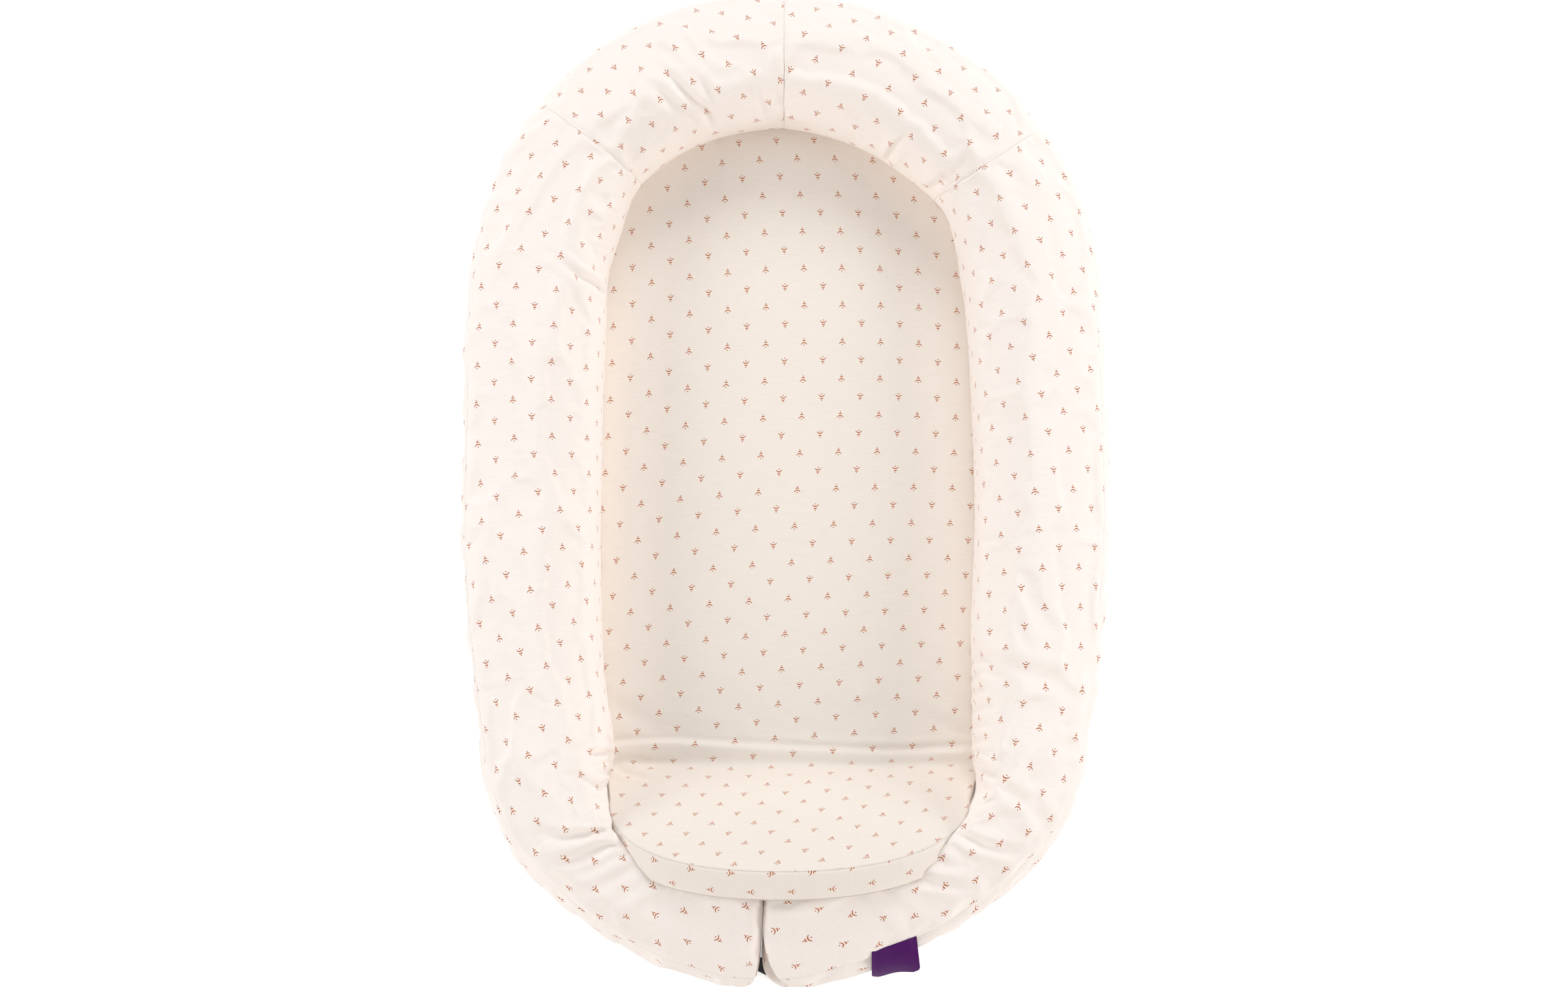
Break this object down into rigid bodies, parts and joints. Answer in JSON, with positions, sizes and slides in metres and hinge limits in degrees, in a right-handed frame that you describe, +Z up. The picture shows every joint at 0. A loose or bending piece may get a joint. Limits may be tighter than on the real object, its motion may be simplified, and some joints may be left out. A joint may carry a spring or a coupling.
{
  "type": "infant lounger",
  "caption": "Oval baby nest: a padded bumper ring open at the foot around a removable foam pad whose foot end folds up over the bumper, with a strap and buckle underneath.",
  "frame": {"origin": "middle of the lounger's outline, on the floor", "axes": "+Y towards the head end, +Z up, +X towards the lying baby's left, which is right in the picture"},
  "size_m": [0.5764, 0.9029, 0.1561],
  "materials": {
    "cloth": "printed cotton jersey",
    "under_cloth": "printed cotton jersey",
    "lining": "plain cotton lining",
    "fibre": "loose polyester fibre",
    "foam": "open-cell foam",
    "webbing": "woven polypropylene webbing",
    "plastic": "satin moulded acetal",
    "tag": "bare woven satin tag",
    "zip": "zip tape with coil chain",
    "metal": "nickel-plated"
  },
  "bodies": {
    "bumper": {"bumper_top_head_left": "cloth", "bumper_top_left": "cloth", "bumper_top_head_right": "cloth", "bumper_top_right": "cloth", "bumper_under_head_left": "under_cloth", "bumper_under_left": "under_cloth", "bumper_under_head_right": "under_cloth", "bumper_under_right": "under_cloth", "bumper_end_left": "cloth", "bumper_end_right": "cloth", "bumper_filling": "fibre", "base_panel": "lining", "buckle_socket": "plastic", "strap_left": "webbing", "strap_right": "webbing", "side_tag": "tag"},
    "pad": {"pad_foam": "foam", "pad_cover_top": "cloth", "pad_cover_bottom": "lining", "pad_cover_side": "cloth", "pad_zip_tape": "zip"},
    "foot_flap": {"flap_foam": "foam", "flap_cover_top": "cloth", "flap_cover_bottom": "lining", "flap_cover_side": "cloth"},
    "zip_slider": {"pad_zip_slider": "metal"},
    "zip_pull": {"pad_zip_pull": "metal"},
    "buckle_plug": {"buckle_plug": "plastic"}
  },
  "joints": [
    {"name": "pad_lift", "type": "slide", "parent": "bumper", "child": "pad", "axis": [0, 0, 1], "range_m": [0, 0.25]},
    {"name": "flap_fold", "type": "hinge", "parent": "pad", "child": "foot_flap", "pos_m": [0, -0.24575, 0.0335], "axis": [-1, 0, 0], "range_deg": [0, 60]},
    {"name": "zip_slide", "type": "slide", "parent": "pad", "child": "zip_slider", "axis": [0.0146, -0.9999, 0], "range_m": [0, 0.3]},
    {"name": "zip_pull_turn", "type": "hinge", "parent": "zip_slider", "child": "zip_pull", "pos_m": [-0.16301, 0.12419, 0.0185], "axis": [0, 0, -1], "range_deg": [0, 40]},
    {"name": "buckle_release", "type": "slide", "parent": "bumper", "child": "buckle_plug", "axis": [-0.9874, -0.1585, 0], "range_m": [0, 0.024], "deforming": ["strap_left"]}
  ]
}
